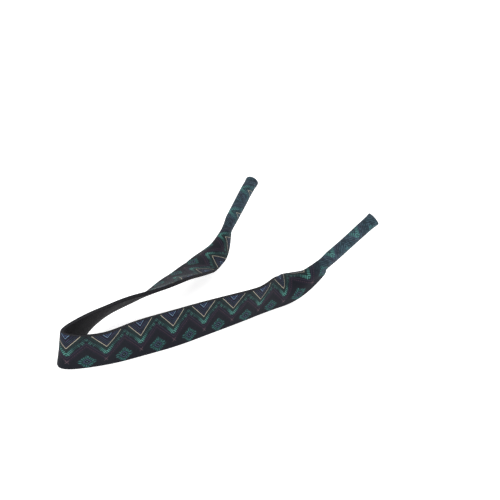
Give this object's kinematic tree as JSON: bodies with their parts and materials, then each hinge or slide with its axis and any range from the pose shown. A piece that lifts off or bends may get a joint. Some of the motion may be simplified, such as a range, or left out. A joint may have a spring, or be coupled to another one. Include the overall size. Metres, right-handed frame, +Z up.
{
  "type": "eyeglass retainer strap",
  "caption": "Soft printed neoprene retainer strap for eyeglasses: a padded band that loops behind the neck, with a sewn sleeve at either end that grips a temple tip.",
  "frame": {"origin": "middle of the strap's back, on the lower edge that it rests on", "axes": "+Z up; +Y from the back of the loop towards the sleeve mouths; +X towards the wearer's right"},
  "size_m": [0.1356, 0.2589, 0.0626],
  "materials": {
    "printed_jersey": "matt knit, printed",
    "neoprene_foam": "matt foam, cut edges showing",
    "lining_jersey": "matt knit",
    "seam_thread": "slightly lustrous filament"
  },
  "bodies": {
    "back_band": {"back_band_printed_face": "printed_jersey", "back_band_foam_core": "neoprene_foam", "back_band_lining": "lining_jersey"},
    "left_arm": {"left_arm_printed_face": "printed_jersey", "left_arm_foam_core": "neoprene_foam", "left_arm_lining": "lining_jersey"},
    "right_arm": {"right_arm_printed_face": "printed_jersey", "right_arm_foam_core": "neoprene_foam", "right_arm_lining": "lining_jersey"},
    "left_sleeve": {"left_sleeve_printed_face": "printed_jersey", "left_sleeve_foam_core": "neoprene_foam", "left_sleeve_lining": "lining_jersey", "left_seam_looper_thread": "seam_thread", "left_seam_needle_thread": "seam_thread"},
    "right_sleeve": {"right_sleeve_printed_face": "printed_jersey", "right_sleeve_foam_core": "neoprene_foam", "right_sleeve_lining": "lining_jersey", "right_seam_looper_thread": "seam_thread", "right_seam_needle_thread": "seam_thread"}
  },
  "joints": [
    {"name": "left_back_flex", "type": "hinge", "parent": "back_band", "child": "left_arm", "pos_m": [-0.01128, 0.0137, 0.0148], "axis": [0, 0, 1], "range_deg": [-8, 30], "stiffness_Nm_per_rad": 0.004},
    {"name": "right_back_flex", "type": "hinge", "parent": "back_band", "child": "right_arm", "pos_m": [0.01327, 0.01718, 0.01315], "axis": [0, 0, 1], "range_deg": [-30, 8], "stiffness_Nm_per_rad": 0.004},
    {"name": "left_sleeve_flex", "type": "hinge", "parent": "left_arm", "child": "left_sleeve", "pos_m": [-0.05054, 0.20337, 0.02797], "axis": [0.2023, -0.5516, 0.8092], "range_deg": [-20, 20], "stiffness_Nm_per_rad": 0.006},
    {"name": "right_sleeve_flex", "type": "hinge", "parent": "right_arm", "child": "right_sleeve", "pos_m": [0.04724, 0.20942, 0.02668], "axis": [-0.0289, -0.5805, 0.8138], "range_deg": [-20, 20], "stiffness_Nm_per_rad": 0.006}
  ]
}
